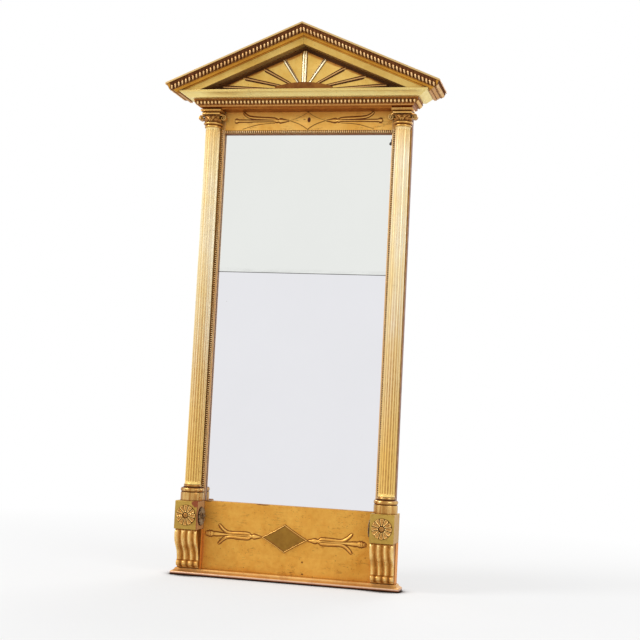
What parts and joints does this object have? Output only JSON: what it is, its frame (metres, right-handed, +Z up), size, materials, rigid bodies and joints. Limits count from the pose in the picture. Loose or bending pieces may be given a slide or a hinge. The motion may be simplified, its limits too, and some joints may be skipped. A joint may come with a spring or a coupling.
{
  "type": "pier mirror",
  "caption": "Tall wall mirror in a gilded wooden frame shaped like a small temple front, with fluted columns, carved blocks and a fan in the pediment.",
  "frame": {"origin": "bottom centre of the whole object's box, with the mirror standing upright", "axes": "+X to the viewer's right, +Y towards the wall behind the mirror, +Z up"},
  "size_m": [0.908, 0.173, 1.7999],
  "materials": {
    "bright_gilding": "burnished gold leaf on wood",
    "warm_gilding": "worn orange gold leaf on wood",
    "olive_gilding": "dulled green gold on wood",
    "worn_bole": "gold leaf rubbed through to red clay",
    "bare_pine": "old bare softwood",
    "silvered_glass": "silvered plate glass",
    "wrought_iron": "dark forged iron"
  },
  "bodies": {
    "frame": {"left_stile": "bare_pine", "right_stile": "bare_pine", "top_rail": "bare_pine", "bottom_rail": "bare_pine", "backboard_1": "bare_pine", "backboard_2": "bare_pine", "backboard_3": "bare_pine", "frieze_panel": "warm_gilding", "base_panel": "warm_gilding", "plinth_rail": "warm_gilding", "bed_moulding_front": "warm_gilding", "tympanum_board": "warm_gilding", "lower_mirror_plate": "silvered_glass", "upper_mirror_plate": "silvered_glass", "left_pedestal": "warm_gilding", "right_pedestal": "warm_gilding", "left_upper_spear": "warm_gilding", "right_upper_spear": "warm_gilding", "left_lower_spear": "warm_gilding", "right_lower_spear": "warm_gilding", "left_bed_moulding_return": "warm_gilding", "right_bed_moulding_return": "warm_gilding", "left_plinth_block": "olive_gilding", "right_plinth_block": "olive_gilding", "left_side_rosette": "olive_gilding", "right_side_rosette": "olive_gilding", "left_column_shaft": "bright_gilding", "right_column_shaft": "bright_gilding", "left_capital": "bright_gilding", "right_capital": "bright_gilding", "left_column_base": "bright_gilding", "right_column_base": "bright_gilding", "left_console": "bright_gilding", "right_console": "bright_gilding", "left_front_rosette": "bright_gilding", "right_front_rosette": "bright_gilding", "left_bead_strip": "bright_gilding", "right_bead_strip": "bright_gilding", "left_raking_board": "bright_gilding", "right_raking_board": "bright_gilding", "left_raking_moulding": "bright_gilding", "right_raking_moulding": "bright_gilding", "left_eave_return": "bright_gilding", "right_eave_return": "bright_gilding", "left_base_moulding_return": "worn_bole", "right_base_moulding_return": "worn_bole", "base_moulding_front": "worn_bole", "upper_lozenge": "olive_gilding", "lower_lozenge": "olive_gilding", "top_bead_strip": "bright_gilding", "corona_board": "bright_gilding", "fan": "bright_gilding", "fan_hub": "worn_bole", "left_hanger_plate": "wrought_iron", "right_hanger_plate": "wrought_iron", "left_hanger_screw": "wrought_iron", "right_hanger_screw": "wrought_iron"},
    "left_ring": {"left_hanging_ring": "wrought_iron"},
    "right_ring": {"right_hanging_ring": "wrought_iron"}
  },
  "joints": [
    {"name": "left_ring_swing", "type": "hinge", "parent": "frame", "child": "left_ring", "pos_m": [-0.3225, 0.08265, 1.39], "axis": [1, 0, 0], "range_deg": [0, 180]},
    {"name": "right_ring_swing", "type": "hinge", "parent": "frame", "child": "right_ring", "pos_m": [0.3225, 0.08265, 1.39], "axis": [1, 0, 0], "range_deg": [0, 180]}
  ]
}
